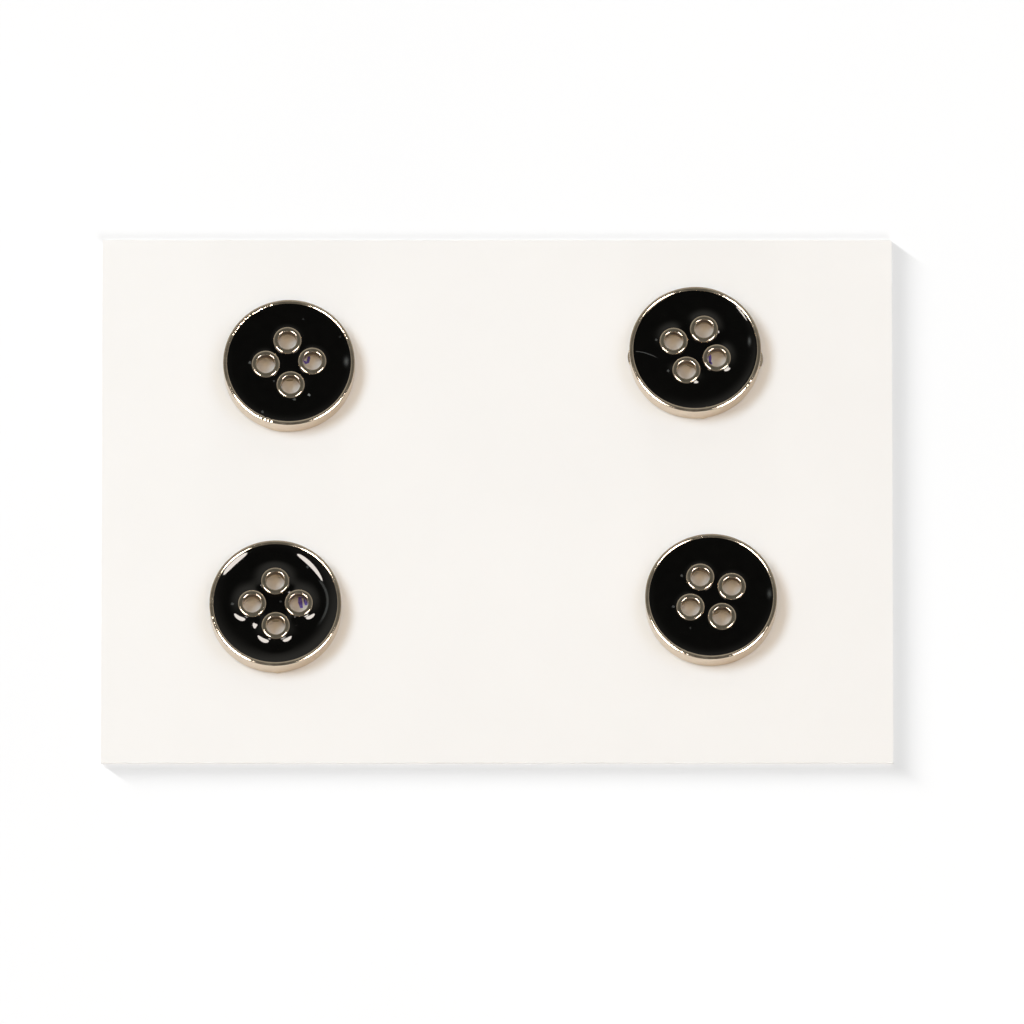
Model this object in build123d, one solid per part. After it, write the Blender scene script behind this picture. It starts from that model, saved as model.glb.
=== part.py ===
"""Card of four sew-through buttons: nickel-plated shells filled with black enamel, glued to a plain card.

Millimetres, +Z up. The origin is the centre of the card's underside, +X runs along its long edge and
+Y along its short edge. Each button is drawn about its own axis with its back at zero, then set on its glue.
"""

import os
from math import pi, sin

from build123d import *

# Card
card_width = 90.0
card_depth = 62.5
card_thickness = 0.5

# Button shell
button_diameter = 15.0
button_height = 2.6
rim_width = 0.45
rim_shoulder_width = 0.26
rim_shoulder_drop = 0.2
recess_depth = 0.9

# Sewing holes, and the enamel left between the raised collars round them
hole_count = 4
hole_diameter = 2.16
hole_circle_diameter = 5.31
collar_gap = 0.495
collar_bevel_depth = 0.08

# Glue dot
glue_diameter = 2.8
glue_thickness = 0.1

# Length by which cutting tools pass the faces they cut
overrun = 0.5

# Centres of the buttons, as shares of the card's width and depth
button_place_shares = {
    "back_left": (-0.2633, 0.2517),
    "back_right": (0.2507, 0.2768),
    "front_left": (-0.2799, -0.2091),
    "front_right": (0.2703, -0.1966),
}

# Turn of each hole pattern about the button's axis, as a share of the angle from one hole to the next
button_turn_shares = {
    "back_left": 0.0444,
    "back_right": -0.2467,
    "front_left": 0.0078,
    "front_right": 0.3078,
}

# Mean level of each enamel fill below the rim, as a share of the recess depth
enamel_sink_shares = {
    "back_left": 0.34,
    "back_right": 0.44,
    "front_left": 0.70,
    "front_right": 0.34,
}

# Radii and levels that follow from these, measured from each button's own axis and back
button_radius = button_diameter / 2
recess_radius = button_radius - rim_width
recess_floor = button_height - recess_depth
hole_radius = hole_diameter / 2
hole_spacing = hole_circle_diameter * sin(pi / hole_count)
collar_radius = (hole_spacing - collar_gap) / 2
collar_wall = collar_radius - hole_radius


def turned(*outline):
    """Solid of revolution about Z of a closed outline, its points given as radius and height."""
    section = make_face(Polyline(*outline, close=True))
    return revolve(Plane.XZ * section, Axis.Z)


def hole_places(name):
    """Places of one button's sewing holes on their circle."""
    turn = button_turn_shares[name] * 360 / hole_count
    return PolarLocations(hole_circle_diameter / 2, hole_count, start_angle=turn)


def make_card():
    """Plain rectangular card with square corners, lying flat."""
    return extrude(Rectangle(card_width, card_depth), card_thickness)


def make_cup():
    """Cast cup: flat back, upright wall, rim with a sloped shoulder, and the recess for the enamel."""
    return turned(
        (0, 0),
        (button_radius, 0),
        (button_radius, button_height - rim_shoulder_drop),
        (button_radius - rim_shoulder_width, button_height),
        (recess_radius, button_height),
        (recess_radius, recess_floor),
        (0, recess_floor),
    )


def make_collar_post():
    """Round post from the middle of the cup's web to the rim's level, which a hole turns into a collar."""
    return turned(
        (0, recess_floor / 2),
        (collar_radius, recess_floor / 2),
        (collar_radius, button_height),
        (0, button_height),
    )


def make_hole_cutter():
    """Through hole with a bevelled mouth that opens to the collar's outer edge."""
    flare_radius = collar_radius + overrun * collar_wall / collar_bevel_depth
    return turned(
        (0, -overrun),
        (hole_radius, -overrun),
        (hole_radius, button_height - collar_bevel_depth),
        (flare_radius, button_height + overrun),
        (0, button_height + overrun),
    )


def make_shell(name):
    """Metal shell in one piece: the cup with its collars, pierced by the sewing holes."""
    shell = make_cup()
    shell += [place * make_collar_post() for place in hole_places(name)]
    shell -= [place * make_hole_cutter() for place in hole_places(name)]
    return shell


def make_enamel(name):
    """Enamel that fills the recess round the collars, up to its own level below the rim."""
    level = button_height - recess_depth * enamel_sink_shares[name]
    fill = turned((0, recess_floor), (recess_radius, recess_floor), (recess_radius, level), (0, level))
    clearing = Pos(0, 0, recess_floor) * Cylinder(collar_radius, 2 * recess_depth)
    return fill - [place * clearing for place in hole_places(name)]


def make_glue():
    """Dot of glue pressed flat between the card and the button's back, clear of the holes."""
    return turned((0, 0), (glue_diameter / 2, 0), (glue_diameter / 2, glue_thickness), (0, glue_thickness))


def main():
    os.makedirs("parts", exist_ok=True)
    export_step(make_card(), "parts/card.step")
    for name, (x_share, y_share) in button_place_shares.items():
        spot = Pos(x_share * card_width, y_share * card_depth, card_thickness)
        seat = spot * Pos(0, 0, glue_thickness)
        export_step(spot * make_glue(), f"parts/{name}_glue.step")
        export_step(seat * make_shell(name), f"parts/{name}_shell.step")
        export_step(seat * make_enamel(name), f"parts/{name}_enamel.step")


main()
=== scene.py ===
"""Card of four sew-through buttons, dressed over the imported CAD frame. Metres, +Z up, in the frame of the CAD."""

import math

import bmesh
import bpy
from mathutils import Matrix, Vector, noise
from mathutils.geometry import delaunay_2d_cdt


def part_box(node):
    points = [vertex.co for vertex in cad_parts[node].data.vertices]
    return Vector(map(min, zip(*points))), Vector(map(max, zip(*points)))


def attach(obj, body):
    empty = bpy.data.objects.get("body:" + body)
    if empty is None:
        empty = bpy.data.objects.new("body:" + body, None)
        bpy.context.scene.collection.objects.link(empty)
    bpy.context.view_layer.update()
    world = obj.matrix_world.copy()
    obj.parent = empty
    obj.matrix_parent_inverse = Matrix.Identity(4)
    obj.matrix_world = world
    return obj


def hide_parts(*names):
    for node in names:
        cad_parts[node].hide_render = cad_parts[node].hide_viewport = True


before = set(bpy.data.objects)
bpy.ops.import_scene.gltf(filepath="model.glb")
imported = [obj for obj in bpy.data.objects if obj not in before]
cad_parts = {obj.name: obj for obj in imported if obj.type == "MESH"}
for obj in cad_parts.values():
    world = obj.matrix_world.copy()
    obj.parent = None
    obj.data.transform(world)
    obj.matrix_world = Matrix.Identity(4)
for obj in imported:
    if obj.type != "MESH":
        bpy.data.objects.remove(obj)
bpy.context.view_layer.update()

MM = 0.001
TAU = 2 * math.pi

# Each button: turn of its holes in degrees, and how its enamel set. A meniscus climbs to the rim and to the
# collars; each is given by its slope at the metal and by the distance over which it fades to flat, in mm.
# Lean adds to the rim's slope towards an angle, and ebb takes from the collars' slope towards one. Inner is the share
# of the collars' slope left on the side towards the middle, and the cosines between which it grows to its full value.
# Ragged is stretches of rim where the plating broke: angle, half angle, amount. Flash is casting fins at the
# foot: angle, half angle, reach. Painted glints, a dim grey reflection painted on the enamel near the rim, are x, y,
# width, height, strength; specks x, y, size, strength; threads three points, width, strength.
BUTTONS = {
    "back_left": {
        "turn": 4.0, "seed": 3.0, "level": 2.27,
        "rim": (0.24, 1.10), "lean": (0.0, 0.0),
        "collar": (0.27, 0.60), "ebb": (0.0, 0.0), "inner": (0.4, -0.9, -0.1),
        "ragged": [(140.0, 48.0, 1.0), (252.0, 17.0, 1.0), (26.0, 14.0, 0.4)],
        "flash": [(258.0, 11.0, 0.05)],
        "painted_glints": [(6.53, 0.17, 0.22, 0.42, 0.42)],
        "specks": [
            (2.28, -3.82, 0.11, 0.9), (0.63, -4.37, 0.11, 0.4), (-4.44, 0.03, 0.13, 0.4), (-1.70, -2.16, 0.09, 0.2),
            (-3.01, -5.87, 0.12, 0.25), (5.81, 3.13, 0.10, 0.1), (1.62, 5.26, 0.09, 0.1),
        ],
        "threads": [],
    },
    "back_right": {
        "turn": -22.2, "seed": 11.0, "level": 2.16,
        "rim": (0.25, 1.50), "lean": (0.20, -10.0),
        "collar": (0.45, 1.20), "ebb": (0.14, 222.0), "inner": (0.10, -0.4, 0.5),
        "ragged": [(60.0, 14.0, 0.3), (318.0, 20.0, 0.4)],
        "flash": [(356.0, 9.0, 0.24), (181.5, 8.0, 0.18), (277.0, 4.0, 0.08)],
        "painted_glints": [(6.18, 1.04, 0.14, 0.40, 0.42)],
        "specks": [(-4.44, 1.21, 0.10, 0.35), (-3.08, -2.50, 0.11, 0.35)],
        "threads": [(((-6.87, -0.17), (-5.56, -0.37), (-4.12, -1.03)), 0.045, 0.34)],
    },
    "front_left": {
        "turn": 0.7, "seed": 23.0, "level": 1.77,
        "rim": (0.49, 2.10), "lean": (0.13, 15.0),
        "collar": (0.50, 1.68), "ebb": (0.0, 0.0), "inner": (0.2, -0.9, -0.1),
        "ragged": [(186.0, 26.0, 0.8), (235.0, 16.0, 0.4)],
        "flash": [(272.0, 4.0, 0.08)],
        "painted_glints": [],
        "specks": [(-4.90, 0.08, 0.12, 0.3), (3.66, 4.52, 0.11, 0.3), (0.58, 0.40, 0.10, 0.15)],
        "threads": [(((4.84, 3.14), (5.93, 0.28), (4.59, -2.71)), 0.12, 0.22)],
    },
    "front_right": {
        "turn": 27.7, "seed": 31.0, "level": 2.27,
        "rim": (0.26, 1.20), "lean": (0.0, 0.0),
        "collar": (0.27, 0.60), "ebb": (0.0, 0.0), "inner": (0.4, -0.9, -0.1),
        "ragged": [(92.0, 12.0, 0.5), (248.0, 12.0, 0.6), (28.0, 12.0, 0.4)],
        "flash": [],
        "painted_glints": [(6.64, 0.39, 0.2, 0.4, 0.3)],
        "specks": [(-3.33, 2.57, 0.11, 0.35), (-4.30, -1.14, 0.11, 0.35), (-2.35, -3.68, 0.09, 0.15)],
        "threads": [],
    },
}

# Sizes shared by the buttons, in mm from each button's axis and back
BUTTON_RADIUS = 7.5
BUTTON_HEIGHT = 2.6
RIM_CROWN = 7.25
RECESS_RADIUS = 7.05
RECESS_FLOOR = 1.7
COLLAR_RADIUS = 1.63
COLLAR_CROWN = 1.345
HOLE_RADIUS = 1.08
HOLE_CIRCLE = 2.655

# Points round each turned form
RIM_POINTS = 432
ENAMEL_POINTS = 360
COLLAR_POINTS = 96

# Edges sharper than this stay sharp, in degrees
SHARP_ANGLE = 35.0

# Strokes of a pen on the card, seen through the holes: points in mm from the card's centre, width
CARD_TOP = 0.5
INK_TOP = 0.512
PEN_STROKES = [
    ([(-21.39, 17.55), (-21.45, 17.10), (-21.57, 16.62), (-21.78, 16.50), (-21.98, 16.73)], 0.34),
    ([(24.26, 17.75), (24.27, 17.10), (24.26, 16.34)], 0.32),
    ([(24.08, 16.56), (24.28, 16.44), (24.50, 16.50)], 0.40),
    ([(-22.44, -11.42), (-22.38, -12.15), (-22.22, -12.82)], 0.50),
    ([(-21.86, -11.50), (-21.76, -12.00), (-21.72, -12.50)], 0.46),
]


def smooth(value, low, high):
    """Smooth step from 0 at low to 1 at high."""
    t = min(1.0, max(0.0, (value - low) / (high - low)))
    return t * t * (3 - 2 * t)


def material(name):
    """New material with its principled shader, nodes and links."""
    made = bpy.data.materials.new(name)
    made.use_nodes = True
    return made, made.node_tree.nodes, made.node_tree.links


def noise_node(nodes, links, scale, detail=4.0, rough=0.5):
    """Noise in object coordinates, its scale per millimetre."""
    place = nodes.new("ShaderNodeTexCoord")
    made = nodes.new("ShaderNodeTexNoise")
    made.inputs["Scale"].default_value = scale / MM
    made.inputs["Detail"].default_value = detail
    made.inputs["Roughness"].default_value = rough
    links.new(place.outputs["Object"], made.inputs["Vector"])
    return made


def ramp(nodes, links, source, stops):
    """Colour ramp from (position, colour) stops."""
    made = nodes.new("ShaderNodeValToRGB")
    while len(made.color_ramp.elements) < len(stops):
        made.color_ramp.elements.new(0.5)
    for element, (at, colour) in zip(made.color_ramp.elements, stops):
        element.position = at
        element.color = (*colour, 1.0)
    links.new(source, made.inputs["Fac"])
    return made


def bump(nodes, links, source, shader, strength, depth):
    """Bump of the given depth in mm."""
    made = nodes.new("ShaderNodeBump")
    made.inputs["Strength"].default_value = strength
    made.inputs["Distance"].default_value = depth * MM
    links.new(source, made.inputs["Height"])
    links.new(made.outputs["Normal"], shader.inputs["Normal"])


def make_card_stock():
    """Off-white uncoated card: faint cloudiness, fine fibre grain."""
    made, nodes, links = material("card_stock")
    shader = nodes["Principled BSDF"]
    cloud = noise_node(nodes, links, 0.05, 3.0)
    tint = ramp(nodes, links, cloud.outputs["Fac"], [
        (0.30, (0.912, 0.902, 0.893)), (0.70, (0.930, 0.920, 0.911)),
    ])
    links.new(tint.outputs["Color"], shader.inputs["Base Color"])
    shader.inputs["Roughness"].default_value = 0.85
    shader.inputs["Specular IOR Level"].default_value = 0.15
    grain = noise_node(nodes, links, 6.0, 6.0, 0.65)
    bump(nodes, links, grain.outputs["Fac"], shader, 0.25, 0.02)
    return made


def mixed(nodes, links, factor, first, second):
    """Colour mixed from a socket towards a fixed colour by a factor socket."""
    made = nodes.new("ShaderNodeMix")
    made.data_type = "RGBA"
    links.new(factor, made.inputs["Factor"])
    links.new(first, made.inputs["A"])
    made.inputs["B"].default_value = (*second, 1.0)
    return made.outputs["Result"]


def painted(nodes, name):
    """Socket of a value painted on the mesh's points."""
    made = nodes.new("ShaderNodeAttribute")
    made.attribute_name = name
    return made.outputs["Fac"]


def make_plated_metal():
    """Warm bright nickel: polished, with a faint cast waviness and small patches of duller polish; painted shade,
    dark brown and rougher, on the far wall of each hole.
    """
    made, nodes, links = material("plated_metal")
    shader = nodes["Principled BSDF"]
    shader.inputs["Metallic"].default_value = 1.0
    patch = noise_node(nodes, links, 1.4, 3.0)
    painted_bore_shade = painted(nodes, "painted_bore_shade")
    tint = ramp(nodes, links, patch.outputs["Fac"], [
        (0.35, (0.69, 0.57, 0.44)), (0.65, (0.75, 0.63, 0.49)),
    ])
    # Painted shade: the far wall of each hole, where it lies in shadow, is mixed to dark brown and made rougher
    links.new(mixed(nodes, links, painted_bore_shade, tint.outputs["Color"], (0.12, 0.085, 0.055)), shader.inputs["Base Color"])
    gloss = ramp(nodes, links, patch.outputs["Fac"], [
        (0.35, (0.10, 0.10, 0.10)), (0.70, (0.17, 0.17, 0.17)),
    ])
    links.new(mixed(nodes, links, painted_bore_shade, gloss.outputs["Color"], (0.42, 0.42, 0.42)), shader.inputs["Roughness"])
    wave = noise_node(nodes, links, 3.0, 2.0)
    bump(nodes, links, wave.outputs["Fac"], shader, 0.3, 0.012)
    return made


def make_black_enamel():
    """Deep black enamel, glass-smooth, grey where painted: dust specks and threads, and a glint of reflected light
    painted near the rim.
    """
    made, nodes, links = material("black_enamel")
    shader = nodes["Principled BSDF"]
    depth = noise_node(nodes, links, 0.8, 3.0)
    tint = ramp(nodes, links, depth.outputs["Fac"], [
        (0.3, (0.0010, 0.0010, 0.0009)), (0.7, (0.0018, 0.0018, 0.0016)),
    ])
    # Grey painted where marked: dust specks and threads, and glints of reflected light painted near the rim
    dust_and_painted_glint = painted(nodes, "dust_and_painted_glint")
    links.new(mixed(nodes, links, dust_and_painted_glint, tint.outputs["Color"], (0.19, 0.20, 0.195)), shader.inputs["Base Color"])
    shader.inputs["IOR"].default_value = 1.54
    shader.inputs["Specular Tint"].default_value = (1.0, 0.95, 0.90, 1.0)
    gloss = ramp(nodes, links, depth.outputs["Fac"], [
        (0.3, (0.03, 0.03, 0.03)), (0.7, (0.05, 0.05, 0.05)),
    ])
    links.new(gloss.outputs["Color"], shader.inputs["Roughness"])
    return made


def make_clear_glue():
    """Set clear glue, yellowish, slightly cloudy."""
    made, nodes, links = material("clear_glue")
    shader = nodes["Principled BSDF"]
    cloud = noise_node(nodes, links, 2.0, 3.0)
    tint = ramp(nodes, links, cloud.outputs["Fac"], [
        (0.3, (0.80, 0.74, 0.62)), (0.7, (0.90, 0.86, 0.77)),
    ])
    links.new(tint.outputs["Color"], shader.inputs["Base Color"])
    shader.inputs["Roughness"].default_value = 0.25
    shader.inputs["Transmission Weight"].default_value = 0.5
    return made


def make_pen_ink():
    """Violet-blue ball pen ink, paler where it ran thin."""
    made, nodes, links = material("pen_ink")
    shader = nodes["Principled BSDF"]
    thin = noise_node(nodes, links, 5.0, 3.0)
    tint = ramp(nodes, links, thin.outputs["Fac"], [
        (0.35, (0.12, 0.085, 0.62)), (0.75, (0.26, 0.21, 0.76)),
    ])
    links.new(tint.outputs["Color"], shader.inputs["Base Color"])
    shader.inputs["Roughness"].default_value = 0.6
    return made


def mesh_object(name, bm, made_of):
    """Object from a bmesh, smooth but for sharp edges."""
    mesh = bpy.data.meshes.new(name)
    bmesh.ops.recalc_face_normals(bm, faces=bm.faces)
    bm.to_mesh(mesh)
    bm.free()
    mesh.polygons.foreach_set("use_smooth", [True] * len(mesh.polygons))
    mesh.set_sharp_from_angle(angle=math.radians(SHARP_ANGLE))
    mesh.materials.append(made_of)
    made = bpy.data.objects.new(name, mesh)
    bpy.context.scene.collection.objects.link(made)
    return made


def arc(centre, radius, start, end, steps):
    """Points on a circle's arc, angles in degrees."""
    angles = [math.radians(start + (end - start) * i / steps) for i in range(steps + 1)]
    return [(centre[0] + radius * math.cos(a), centre[1] + radius * math.sin(a)) for a in angles]


def chain(at, *bends, steps=8):
    """Points of arcs that run on from each other, each given by its radius and its end slopes in degrees."""
    points = [at]
    for radius, start, end in bends:
        x = points[-1][0] - radius * math.sin(math.radians(start))
        z = points[-1][1] - radius * math.cos(math.radians(start))
        for i in range(1, steps + 1):
            slope = math.radians(start + (end - start) * i / steps)
            points.append((x + radius * math.sin(slope), z + radius * math.cos(slope)))
    return points


def lathe(bm, profile, segments, axis, shift):
    """Rings of a profile turned about an upright axis, each point shifted, joined by quads. Lengths in mm."""
    rings = []
    for radius, level in profile:
        ring = []
        for i in range(segments):
            angle = TAU * i / segments
            r, z = shift(radius, level, angle)
            ring.append(bm.verts.new((axis[0] + r * math.cos(angle), axis[1] + r * math.sin(angle), z)))
        rings.append(ring)
    for low, high in zip(rings, rings[1:]):
        for i in range(segments):
            j = (i + 1) % segments
            bm.faces.new((low[i], low[j], high[j], high[i]))
    return rings


def plate(bm, outer, holes, extra=()):
    """Triangles that fill an outer ring round hole rings, through extra points on the way."""
    loops = [outer, *holes]
    verts = [v for loop in loops for v in loop]
    edges = []
    first = 0
    for loop in loops:
        edges += [(first + i, first + (i + 1) % len(loop)) for i in range(len(loop))]
        first += len(loop)
    verts += list(extra)
    flat = [v.co.xy for v in verts]
    _, _, faces, origin, _, _ = delaunay_2d_cdt(flat, edges, [], 0, 1e-7)
    owner = {new: old[0] for new, old in enumerate(origin)}
    rounds = []
    for loop in loops:
        middle = sum((v.co.xy for v in loop), Vector((0, 0))) / len(loop)
        rounds.append((middle, max((v.co.xy - middle).length for v in loop)))
    for face in faces:
        corners = [verts[owner[i]] for i in face]
        centre = sum((v.co.xy for v in corners), Vector((0, 0))) / 3
        if any((centre - middle).length < radius * 0.9995 for middle, radius in rounds[1:]):
            continue
        if (centre - rounds[0][0]).length > rounds[0][1]:
            continue
        bm.faces.new(corners)


def hole_centres(spec):
    """Centres of a button's holes from its axis, in mm."""
    angles = [math.radians(spec["turn"] + 90 * k) for k in range(4)]
    return [(HOLE_CIRCLE * math.cos(a), HOLE_CIRCLE * math.sin(a)) for a in angles]


# Rim and collars: a low crown that falls through soft facets to the walls; the holes flare at the back
RIM_TOP = (RIM_CROWN, BUTTON_HEIGHT)
RIM_OUTSIDE = chain(RIM_TOP, (0.06, 0, 11), (0.70, 11, 16), (0.90, 16, 26), (0.06, 26, 90))
RIM_INSIDE = chain(RIM_TOP, (0.06, 0, -11), (0.50, -11, -16), (0.72, -16, -26), (0.05, -26, -90))
FOOT_ROUND = 0.08
RIM_PROFILE = (
    arc((BUTTON_RADIUS - FOOT_ROUND, FOOT_ROUND), FOOT_ROUND, -90, 0, 4)
    + [(BUTTON_RADIUS, level) for level in (0.2, 0.32, 0.8, 1.5)]
    + RIM_OUTSIDE[::-1] + RIM_INSIDE[1:]
    + [(RECESS_RADIUS, level) for level in (2.2, 1.9, RECESS_FLOOR)]
)
COLLAR_TOP = (COLLAR_CROWN, BUTTON_HEIGHT)
COLLAR_OUTSIDE = chain(
    COLLAR_TOP, (0.607, 0, 5), (0.06, 5, 11), (0.70, 11, 16), (0.36, 16, 26), (0.21, 26, 60), (0.13, 60, 90),
)
COLLAR_INSIDE = chain(COLLAR_TOP, (2.09, 0, -5), (0.05, -5, -15), (0.26, -15, -26), (0.05, -26, -90))
COLLAR_PROFILE = (
    [(COLLAR_RADIUS, RECESS_FLOOR), (COLLAR_RADIUS, 2.1)]
    + COLLAR_OUTSIDE[::-1] + COLLAR_INSIDE[1:]
    + [(HOLE_RADIUS, level) for level in (2.38, 2.2, 1.9, 1.6, 1.3, 1.1)]
    + [(1.13, 0.95), (1.3, 0.55), (1.5, 0.1), (1.55, 0.0)]
)
# Bores lie within this radius
BORE_LIMIT = 1.1


def make_shell(name, spec, metal):
    """Cast shell: cup with a rounded rim, flat-crowned collars and open holes, with painted shade, dark and rougher,
    on the far wall of each hole.
    """
    bm = bmesh.new()
    painted_bore_shade = bm.verts.layers.float.new("painted_bore_shade")
    seed = spec["seed"]

    def swell(angle, stretches):
        total = 0.0
        for middle, half, amount in stretches:
            off = abs((math.degrees(angle) - middle + 180) % 360 - 180) / half
            total += amount * max(0.0, 1 - off ** 2)
        return total

    def rim_shift(radius, level, angle):
        at = Vector((math.cos(angle), math.sin(angle), seed))
        slow = noise.noise(at * 2.5)
        quick = noise.noise(at * 14.0)
        fin = swell(angle, spec["flash"])
        jag = swell(angle, spec["ragged"]) * (noise.noise(at * 17.0) + 0.6 * noise.noise(at * 33.0))
        lift = smooth(level, 2.2, 2.6)
        inner = smooth(radius, 7.3, 7.1) * smooth(level, 2.0, 2.3)
        foot = 1.0 if 7.4 < radius and level < 0.25 else 0.0
        return (
            radius + 0.012 * slow + foot * fin + 0.06 * inner * jag,
            level + lift * (0.012 * slow + 0.006 * quick - 0.016 - 0.07 * abs(jag)),
        )

    def collar_shift(k):
        def shift(radius, level, angle):
            at = Vector((math.cos(angle), math.sin(angle), seed + 2.3 * k))
            lift = smooth(level, 2.3, 2.55)
            cast = noise.noise(Vector((2.5 * at.x, 2.5 * at.y, 2.0 * level + at.z)))
            rough = 0.02 * cast if radius < BORE_LIMIT and 1.0 < level < 2.4 else 0.0
            sway = 0.008 * noise.noise(at * 2.2) + 0.004 * noise.noise(at * 7.0) - 0.010
            return radius + rough, level + lift * sway
        return shift

    rim = lathe(bm, RIM_PROFILE, RIM_POINTS, (0, 0), rim_shift)
    centres = hole_centres(spec)
    collars = [lathe(bm, COLLAR_PROFILE, COLLAR_POINTS, at, collar_shift(k)) for k, at in enumerate(centres)]
    for rings, (_, y) in zip(collars, centres):
        for ring, (radius, level) in zip(rings, COLLAR_PROFILE):
            for v in ring:
                # Painted shade on the far wall of each hole, between the back and the mouth
                painted_shade = smooth(level, 0.9, 1.7) * smooth(level, 2.5, 2.38) * smooth(v.co.y - y, 0.15, 0.75)
                v[painted_bore_shade] = painted_shade if radius < BORE_LIMIT else 0.0
    plate(bm, rim[-1], [c[0] for c in collars])
    plate(bm, rim[0], [c[-1] for c in collars])
    return mesh_object(f"{name}_cast_shell", bm, metal)


# Level that the enamel doesn't climb past, how softly it stops there, and how menisci that meet add up
ENAMEL_TOP = 2.46
SOFT = 0.015
BLEND = 1.1

# Enamel's mesh: its gap to the metal, its level above the recess floor, and the spacing of points on its face
ENAMEL_GAP = 0.002
ENAMEL_LIFT = 0.001
ENAMEL_GRID = 0.13
ROW_SHARE = 0.866


def enamel_height(spec, centres, x, y):
    """Level of the enamel's face at a place, in mm above the button's back."""
    slope, fade = spec["rim"]
    lean, toward = spec["lean"]
    slope += lean * math.cos(math.atan2(y, x) - math.radians(toward))
    gone = max(0.0, 1 - (RECESS_RADIUS - math.hypot(x, y)) / fade)
    climb = (slope * fade * gone ** 2 / 2) ** BLEND
    slope, fade = spec["collar"]
    ebb, toward = spec["ebb"]
    inner, start, end = spec["inner"]
    for cx, cy in centres:
        dx, dy = x - cx, y - cy
        away = max(COLLAR_RADIUS, math.hypot(dx, dy))
        outward = smooth((dx * cx + dy * cy) / (away * HOLE_CIRCLE), start, end)
        gone = max(0.0, 1 - (away - COLLAR_RADIUS) / fade)
        kept = slope - ebb * max(0.0, math.cos(math.atan2(dy, dx) - math.radians(toward)))
        climb += (kept * (inner + (1 - inner) * outward) * fade * gone ** 2 / 2) ** BLEND
    level = spec["level"] + climb ** (1 / BLEND)
    return ENAMEL_TOP - SOFT * math.log1p(math.exp((ENAMEL_TOP - level) / SOFT))


def enamel_normal(spec, centres, x, y):
    """Normal of the enamel's face at a place."""
    step = 0.004
    dx = enamel_height(spec, centres, x + step, y) - enamel_height(spec, centres, x - step, y)
    dy = enamel_height(spec, centres, x, y + step) - enamel_height(spec, centres, x, y - step)
    return Vector((-dx, -dy, 2 * step)).normalized()


def mark_points(spec):
    """Points that draw a face's specks and threads: x, y, strength."""
    points = []
    for x, y, size, strength in spec["specks"]:
        points.append((x, y, strength))
        for count, reach, shade in ((6, size, strength), (9, 1.7 * size, 0.0)):
            for i in range(count):
                wide = reach * (1 + 0.25 * math.sin(2.4 * i + x))
                points.append((x + wide * math.cos(TAU * i / count), y + wide * math.sin(TAU * i / count), shade))
    for (a, b, c), width, strength in spec["threads"]:
        a, b, c = Vector(a), Vector(b), Vector(c)
        steps = 64
        for i in range(steps + 1):
            t = i / steps
            at = a * 2 * (t - 0.5) * (t - 1) + b * 4 * t * (1 - t) + c * 2 * t * (t - 0.5)
            along = (a * (4 * t - 3) + b * (4 - 8 * t) + c * (4 * t - 1)).normalized()
            side = Vector((-along.y, along.x))
            shade = strength * smooth(t, 0.0, 0.1) * smooth(t, 1.0, 0.7)
            for across, share in ((-1.6, 0.0), (-0.4, 1.0), (0.4, 1.0), (1.6, 0.0)):
                spot = at + side * across * width
                points.append((spot.x, spot.y, shade * share))
    return points


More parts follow.
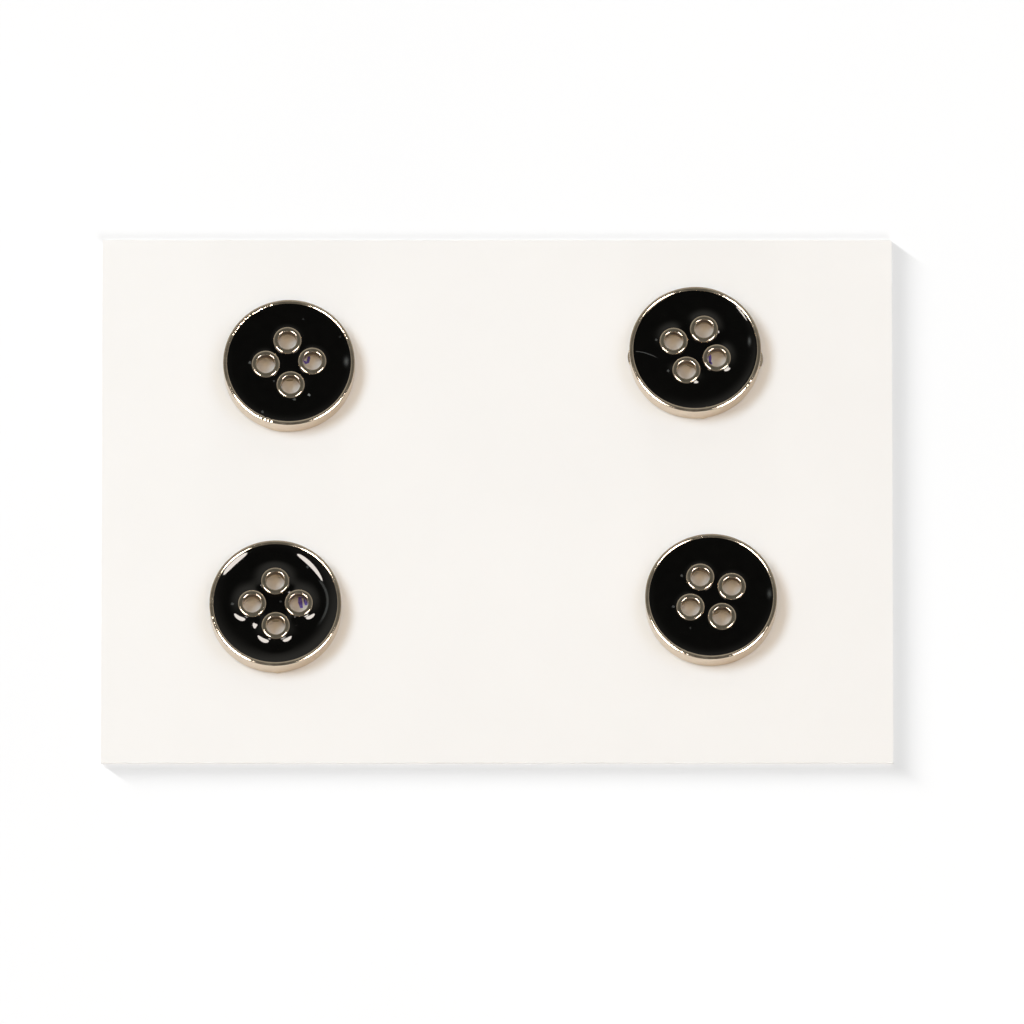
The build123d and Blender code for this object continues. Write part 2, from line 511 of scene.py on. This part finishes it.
def make_enamel(name, spec, enamel):
    """Enamel poured into the cup: a closed body whose face climbs the metal."""
    bm = bmesh.new()
    # Grey painted on the face's points: dust specks and threads, and painted glints of reflected light
    dust_and_painted_glint = bm.verts.layers.float.new("dust_and_painted_glint")
    centres = hole_centres(spec)
    outer, inner = RECESS_RADIUS - ENAMEL_GAP, COLLAR_RADIUS + ENAMEL_GAP

    def ring(centre, radius, segments, level=None):
        made = []
        for i in range(segments):
            x = centre[0] + radius * math.cos(TAU * i / segments)
            y = centre[1] + radius * math.sin(TAU * i / segments)
            z = enamel_height(spec, centres, x, y) if level is None else level
            made.append(bm.verts.new((x, y, z)))
        return made

    def free(x, y, margin):
        if math.hypot(x, y) > RECESS_RADIUS - margin:
            return False
        return all(math.hypot(x - cx, y - cy) > COLLAR_RADIUS + margin for cx, cy in centres)

    rim = ring((0, 0), outer, ENAMEL_POINTS)
    collars = [ring(centre, inner, COLLAR_POINTS) for centre in centres]
    marks = [mark for mark in mark_points(spec) if free(mark[0], mark[1], 0.05)]
    inside = []
    rows = int(RECESS_RADIUS / (ENAMEL_GRID * ROW_SHARE)) + 1
    for row in range(-rows, rows + 1):
        for column in range(-rows - 2, rows + 3):
            x = (column + 0.5 * (row % 2)) * ENAMEL_GRID
            y = row * ENAMEL_GRID * ROW_SHARE
            if free(x, y, 0.07) and all(math.hypot(x - mx, y - my) > 0.09 for mx, my, _ in marks):
                # Painted glint: a grey reflection painted on the face near the rim, strongest at its middle
                painted_glint = sum(
                    strength * math.exp(-((x - sx) / wide) ** 2 - ((y - sy) / tall) ** 2)
                    for sx, sy, wide, tall, strength in spec["painted_glints"]
                )
                vertex = bm.verts.new((x, y, enamel_height(spec, centres, x, y)))
                vertex[dust_and_painted_glint] = painted_glint
                inside.append(vertex)
    for x, y, strength in marks:
        vertex = bm.verts.new((x, y, enamel_height(spec, centres, x, y)))
        vertex[dust_and_painted_glint] = strength
        inside.append(vertex)
    plate(bm, rim, collars, inside)
    low = RECESS_FLOOR + ENAMEL_LIFT
    rim_low = ring((0, 0), outer, ENAMEL_POINTS, low)
    collars_low = [ring(centre, inner, COLLAR_POINTS, low) for centre in centres]
    for high_ring, low_ring in zip([rim, *collars], [rim_low, *collars_low]):
        for i in range(len(high_ring)):
            j = (i + 1) % len(high_ring)
            bm.faces.new((high_ring[i], high_ring[j], low_ring[j], low_ring[i]))
    plate(bm, rim_low, collars_low)
    made = mesh_object(f"{name}_enamel_fill", bm, enamel)
    mesh = made.data
    face_normals = {}
    normals = []
    for polygon in mesh.polygons:
        top = abs(polygon.normal.z) > 0.5 and polygon.center.z > low + 0.01
        for index in polygon.vertices:
            if not top:
                normals.append(polygon.normal.copy())
                continue
            if index not in face_normals:
                at = mesh.vertices[index].co
                face_normals[index] = enamel_normal(spec, centres, at.x, at.y)
            normals.append(face_normals[index])
    mesh.normals_split_custom_set(normals)
    return made


def make_pen_marks(ink):
    """Pen strokes on the card: thin ribbons of ink with tapered ends."""
    bm = bmesh.new()
    for points, width in PEN_STROKES:
        places = [Vector(p) for p in points]
        rows = []
        for k, at in enumerate(places):
            along = (places[min(k + 1, len(places) - 1)] - places[max(k - 1, 0)]).normalized()
            side = Vector((-along.y, along.x)) * width * (0.3 if k in (0, len(places) - 1) else 0.5)
            rows.append([
                bm.verts.new((*(at + side * across), level)) for level in (CARD_TOP, INK_TOP) for across in (-1, 1)
            ])
        for a, b in zip(rows, rows[1:]):
            for i, j in ((0, 1), (1, 3), (3, 2), (2, 0)):
                bm.faces.new((a[i], a[j], b[j], b[i]))
        bm.faces.new([rows[0][i] for i in (0, 2, 3, 1)])
        bm.faces.new([rows[-1][i] for i in (0, 1, 3, 2)])
    made = mesh_object("pen_marks", bm, ink)
    made.data.transform(Matrix.Scale(MM, 4))
    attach(made, "root")


def settle(piece, node):
    """Scales a piece drawn in mm to metres, sets it on its CAD node's axis and hangs it on the body."""
    low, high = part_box(node)
    piece.data.transform(Matrix.Scale(MM, 4))
    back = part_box(node.rsplit("_", 1)[0] + "_shell")[0].z
    piece.location = ((low.x + high.x) / 2, (low.y + high.y) / 2, back)
    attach(piece, "root")
    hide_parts(node)


card_stock = make_card_stock()
plated_metal = make_plated_metal()
black_enamel = make_black_enamel()
clear_glue = make_clear_glue()

shells = []
for name, spec in BUTTONS.items():
    shells.append(make_shell(name, spec, plated_metal))
    settle(shells[-1], f"{name}_shell")
    settle(make_enamel(name, spec, black_enamel), f"{name}_enamel")
make_pen_marks(make_pen_ink())

for node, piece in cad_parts.items():
    if node == "card":
        piece.data.materials.clear()
        piece.data.materials.append(card_stock)
        worn = piece.modifiers.new("worn_edges", "BEVEL")
        worn.width = 0.1 * MM
        worn.segments = 3
        worn.harden_normals = True
    elif node.endswith("_glue"):
        piece.data.materials.clear()
        piece.data.materials.append(clear_glue)


def make_floor():
    """Pale floor that the card lies on."""
    bm = bmesh.new()
    bmesh.ops.create_grid(bm, x_segments=8, y_segments=8, size=3.0)
    made, nodes, links = material("floor")
    shader = nodes["Principled BSDF"]
    shader.inputs["Roughness"].default_value = 0.9
    shader.inputs["Specular IOR Level"].default_value = 0.0
    cloud = noise_node(nodes, links, 0.01, 2.0)
    tint = ramp(nodes, links, cloud.outputs["Fac"], [(0.3, (0.752, 0.75, 0.754)), (0.7, (0.766, 0.764, 0.768))])
    links.new(tint.outputs["Color"], shader.inputs["Base Color"])
    floor = mesh_object("floor", bm, made)
    floor.location.z = -0.01 * MM
    return floor


def from_direction(azimuth, elevation, distance, target=(0.0, 0.0, 0.0)):
    """Point at a distance from the target, angles in degrees, azimuth from +X towards +Y."""
    a, e = math.radians(azimuth), math.radians(elevation)
    return Vector(target) + distance * Vector((math.cos(e) * math.cos(a), math.cos(e) * math.sin(a), math.sin(e)))


def aim(name, data, azimuth, elevation, distance=1.0):
    """Lamp object that faces the card from a direction."""
    made = bpy.data.objects.new(name, data)
    made.location = from_direction(azimuth, elevation, distance)
    made.rotation_euler = (-made.location).to_track_quat("-Z", "Y").to_euler()
    bpy.context.scene.collection.objects.link(made)
    return made


def softbox(name, azimuth, elevation, wide, tall, power, colour, distance=1.0):
    """Soft oval lamp that faces the card; its width is level."""
    data = bpy.data.lights.new(name, "AREA")
    data.shape = "ELLIPSE"
    data.size = wide
    data.size_y = tall
    data.energy = power
    data.color = colour
    return aim(name, data, azimuth, elevation, distance)


def sun(name, azimuth, elevation, power, spread):
    """Distant light of a given angular width."""
    data = bpy.data.lights.new(name, "SUN")
    data.energy = power
    data.angle = math.radians(spread)
    return aim(name, data, azimuth, elevation)


def linked(name, pieces, state):
    """Collection of pieces that a lamp is kept to, or leaves out."""
    made = bpy.data.collections.new(name)
    for piece in pieces:
        made.objects.link(piece)
    for entry in made.collection_objects:
        entry.light_linking.link_state = state
    return made


def light_the_set(floor, shells):
    """Lamps of the set: two front softboxes that only gloss mirrors; for the part a cool key from the left, a weak
    one from the right, a warm fill, a warm dome and a low sun on the card's front edge; a top light for the metal
    alone; and for the floor alone suns that the card blocks, mostly from the back left."""
    all_but_floor = linked("all_but_floor", [floor], "EXCLUDE")
    only_floor = linked("only_floor", [floor], "INCLUDE")
    only_metal = linked("only_metal", shells, "INCLUDE")
    only_card = linked("only_card", [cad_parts["card"]], "INCLUDE")
    warm, amber = (1.0, 0.97, 0.94), (1.0, 0.745, 0.47)
    for made in (
        softbox("left_softbox", 203.0, 61.0, 0.48, 0.20, 4.15, warm),
        softbox("right_softbox", 331.0, 61.0, 0.42, 0.18, 3.25, warm),
    ):
        made.visible_diffuse = False
        made.light_linking.receiver_collection = all_but_floor
    for made in (
        softbox("key", 165.0, 62.0, 0.5, 0.4, 5.3, (0.74, 0.875, 1.0)),
        softbox("counter", 8.0, 62.0, 0.6, 0.5, 1.8, (0.69, 0.815, 1.0)),
        softbox("fill", 270.0, 75.0, 0.8, 0.8, 3.6, amber, 1.2),
        softbox("dome", 90.0, 89.0, 4.2, 4.2, 10.0, amber, 1.2),
        sun("edge_light", 270.0, 2.0, 1.15, 2.0),
    ):
        made.visible_glossy = False
        made.light_linking.receiver_collection = all_but_floor
    metal_top = softbox("metal_top", 90.0, 88.0, 1.6, 1.6, 0.46, (0.94, 1.0, 0.94), 1.2)
    metal_top.light_linking.receiver_collection = only_metal
    for name, azimuth, elevation, power, spread in (
        ("floor_top", 143.0, 89.0, 1.79, 10.0), ("floor_high", 143.0, 45.0, 0.32, 30.0),
        ("floor_mid", 143.0, 20.0, 0.78, 12.0), ("floor_low", 143.0, 12.0, 2.02, 6.0),
        ("floor_lowest", 143.0, 7.2, 3.2, 5.0), ("floor_front", 293.0, 25.0, 1.1, 20.0),
    ):
        made = sun(name, azimuth, elevation, power, spread)
        made.light_linking.receiver_collection = only_floor
        made.light_linking.blocker_collection = only_card


def make_world():
    """Dim room: dark overhead, and grey low down, most of all at the back."""
    world = bpy.data.worlds.new("room")
    bpy.context.scene.world = world
    world.use_nodes = True
    nodes, links = world.node_tree.nodes, world.node_tree.links
    sky = nodes["Background"]
    place = nodes.new("ShaderNodeTexCoord")
    axes = nodes.new("ShaderNodeSeparateXYZ")
    links.new(place.outputs["Generated"], axes.inputs["Vector"])

    def span(source, low, high):
        made = nodes.new("ShaderNodeMapRange")
        made.interpolation_type = "SMOOTHSTEP"
        made.inputs["From Min"].default_value = low
        made.inputs["From Max"].default_value = high
        links.new(source, made.inputs["Value"])
        return made.outputs["Result"]

    behind = span(axes.outputs["Y"], -0.5, 0.8)
    lowly = span(axes.outputs["Z"], 0.96, 0.52)
    around = nodes.new("ShaderNodeMath")
    around.operation = "MULTIPLY_ADD"
    links.new(behind, around.inputs[0])
    around.inputs[1].default_value = 0.60
    around.inputs[2].default_value = 0.40
    both = nodes.new("ShaderNodeMath")
    both.operation = "MULTIPLY"
    links.new(around.outputs["Value"], both.inputs[0])
    links.new(lowly, both.inputs[1])
    shade = ramp(nodes, links, both.outputs["Value"], [(0.0, (0.041, 0.041, 0.039)), (1.0, (0.43, 0.43, 0.405))])
    links.new(shade.outputs["Color"], sky.inputs["Color"])


# Camera: lens and sensor in mm, the picture's width in pixels and its scale at the card
LENS = 1400.0
SENSOR = 36.0
PICTURE = 1024
PIXELS_PER_MM = 8.787


def make_camera():
    """Long lens, 72 degrees above the card from its front edge."""
    data = bpy.data.cameras.new("camera")
    data.lens = LENS
    data.sensor_width = SENSOR
    data.clip_end = 100.0
    made = bpy.data.objects.new("camera", data)
    target = Vector((1.70, -1.345, CARD_TOP)) * MM
    wide = PICTURE / PIXELS_PER_MM * MM
    distance = wide / SENSOR * LENS
    made.location = from_direction(270.0, 72.0, distance, target)
    made.rotation_euler = (target - made.location).to_track_quat("-Z", "Y").to_euler()
    bpy.context.scene.collection.objects.link(made)
    bpy.context.scene.camera = made


floor = make_floor()
make_world()
make_camera()
light_the_set(floor, shells)
bpy.context.scene.view_settings.view_transform = "Standard"
